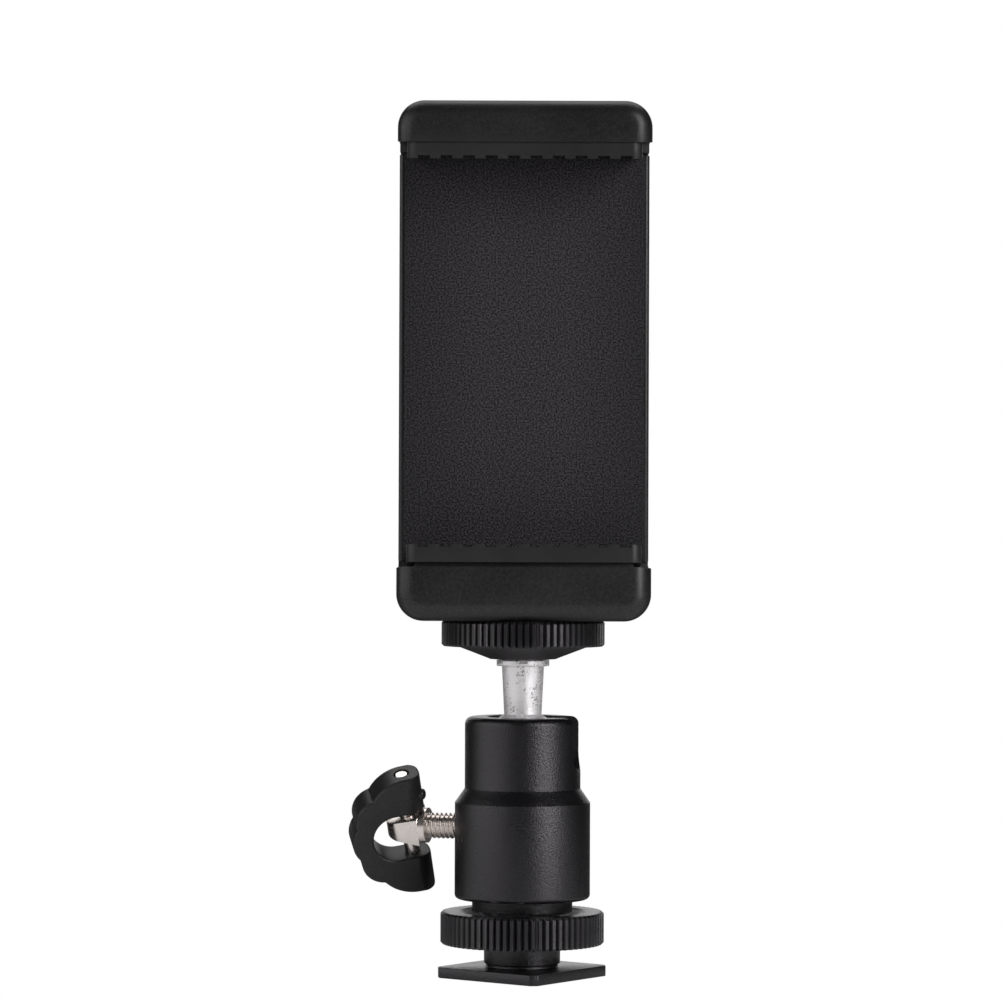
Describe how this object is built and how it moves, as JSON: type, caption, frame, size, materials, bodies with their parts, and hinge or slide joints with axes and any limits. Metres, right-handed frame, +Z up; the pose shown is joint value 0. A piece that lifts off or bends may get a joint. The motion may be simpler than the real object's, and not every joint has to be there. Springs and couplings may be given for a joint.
{
  "type": "tripod phone mount adapter",
  "caption": "Spring-loaded phone clamp on a mini ball head with a locking lever, a knurled disc and a hot-shoe foot with a lock ring.",
  "frame": {"origin": "centre of the foot plate's underside, on the axis of the ball head", "axes": "+Z up along the ball head's axis, -Y is the side that the phone faces, +X to the right seen from there"},
  "size_m": [0.045, 0.0256, 0.13],
  "materials": {
    "black_anodised": "black anodised, satin",
    "inner_nylon": "natural nylon",
    "cast_neck": "satin casting, blasted",
    "zinc_steel": "zinc plated",
    "nickel": "nickel plated",
    "lever_plastic": "black glass-filled nylon, satin",
    "pad_rubber": "thin black rubber",
    "shell_plastic": "black ABS, fine moulded grain",
    "foam": "closed-cell foam sheet, fine speckle",
    "grip_rubber": "black moulded rubber, satin",
    "brass": "plain brass"
  },
  "bodies": {
    "base": {"shoe_foot": "black_anodised", "base_plug": "black_anodised", "ball_housing": "black_anodised", "pressure_cup": "inner_nylon"},
    "ring": {"lock_ring": "black_anodised"},
    "screw": {"lock_screw": "nickel", "lever_pin": "nickel"},
    "lever": {"wing_lever": "lever_plastic"},
    "ball": {"ball_stud": "cast_neck", "stud_screw": "zinc_steel"},
    "disc": {"top_disc": "black_anodised", "disc_pad": "pad_rubber"},
    "clamp": {"clamp_back": "shell_plastic", "front_plate": "shell_plastic", "foam_pad": "foam", "lower_grip": "grip_rubber", "thread_insert": "brass", "body_screws": "zinc_steel", "left_spring": "zinc_steel", "right_spring": "zinc_steel"},
    "jaw": {"upper_jaw": "shell_plastic", "slide_plate": "shell_plastic", "upper_grip": "grip_rubber", "jaw_screws": "zinc_steel"}
  },
  "joints": [
    {"name": "ring_turn", "type": "hinge", "parent": "base", "child": "ring", "pos_m": [0, 0, 0.007], "axis": [0, 0, 1], "continuous": true},
    {"name": "lock_turn", "type": "hinge", "parent": "base", "child": "screw", "pos_m": [0, 0, 0.0223], "axis": [-0.9613, 0.2756, 0], "continuous": true},
    {"name": "lever_fold", "type": "hinge", "parent": "screw", "child": "lever", "pos_m": [-0.01711, 0.00491, 0.0223], "axis": [-0.123, -0.4289, 0.8949], "range_deg": [-115, 65]},
    {"name": "ball_tilt", "type": "hinge", "parent": "base", "child": "ball", "pos_m": [0, 0, 0.0338], "axis": [0.1564, 0.9877, 0], "range_deg": [-20, 90]},
    {"name": "disc_turn", "type": "hinge", "parent": "ball", "child": "disc", "pos_m": [0, 0, 0.05], "axis": [0, 0, 1], "continuous": true},
    {"name": "clamp_turn", "type": "hinge", "parent": "ball", "child": "clamp", "pos_m": [0, 0, 0.0536], "axis": [0, 0, 1], "continuous": true},
    {"name": "jaw_slide", "type": "slide", "parent": "clamp", "child": "jaw", "axis": [0, 0, 1], "range_m": [0, 0.028], "stiffness_N_per_m": 200, "springref_m": -0.02, "deforming": ["left_spring", "right_spring"]}
  ]
}
